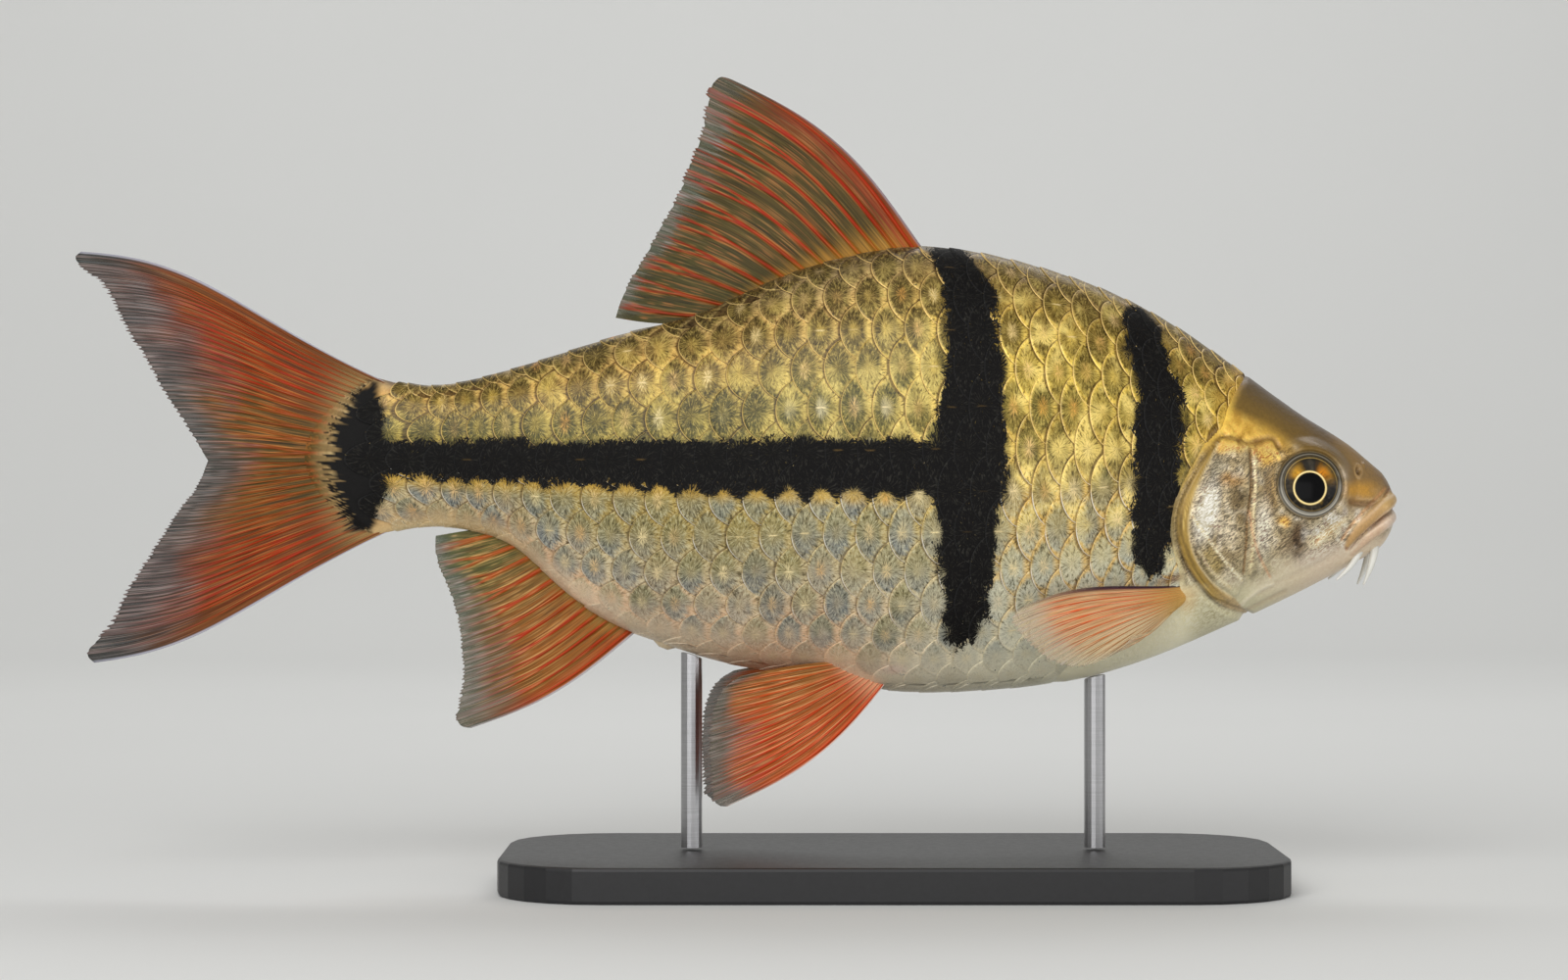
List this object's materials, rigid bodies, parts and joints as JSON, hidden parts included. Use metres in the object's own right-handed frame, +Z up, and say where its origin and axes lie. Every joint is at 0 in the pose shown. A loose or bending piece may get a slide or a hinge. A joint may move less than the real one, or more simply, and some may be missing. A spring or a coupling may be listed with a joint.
{
  "type": "life-size spanner barb fish model on a display stand",
  "caption": "Still, life-size model of a spanner barb, a deep-bodied gold freshwater fish with black bars and red rayed fins, held level on a flat base by short rods",
  "frame": {"origin": "on the floor under the middle of the whole length, in the fish's middle plane", "axes": "+X from tail to snout, +Y to the fish's left side, +Z up"},
  "size_m": [0.1498, 0.044, 0.0917],
  "materials": {
    "skin": "wet scaly skin, olive-gold above, silver-white below, with black bars",
    "fin": "thin wet membrane, red and orange rays, grey-blue margin",
    "eye": "clear wet cornea over a dark iris with a cream-gold ring",
    "barbel": "soft pale grey feelers",
    "stand": "satin black",
    "rod": "brushed steel"
  },
  "bodies": {
    "root": {"head": "skin", "trunk": "skin", "tail_stalk": "skin", "dorsal_fin": "fin", "anal_fin": "fin", "caudal_fin_upper": "fin", "caudal_fin_lower": "fin", "stand_base": "stand", "stand_rod_front": "rod", "stand_rod_rear": "rod", "gill_cover_right": "skin", "eye_right": "eye", "pelvic_fin_right": "fin", "pectoral_fin_right": "fin", "barbel_front_right": "barbel", "barbel_rear_right": "barbel", "gill_cover_left": "skin", "eye_left": "eye", "pelvic_fin_left": "fin", "pectoral_fin_left": "fin", "barbel_front_left": "barbel", "barbel_rear_left": "barbel"}
  },
  "joints": []
}
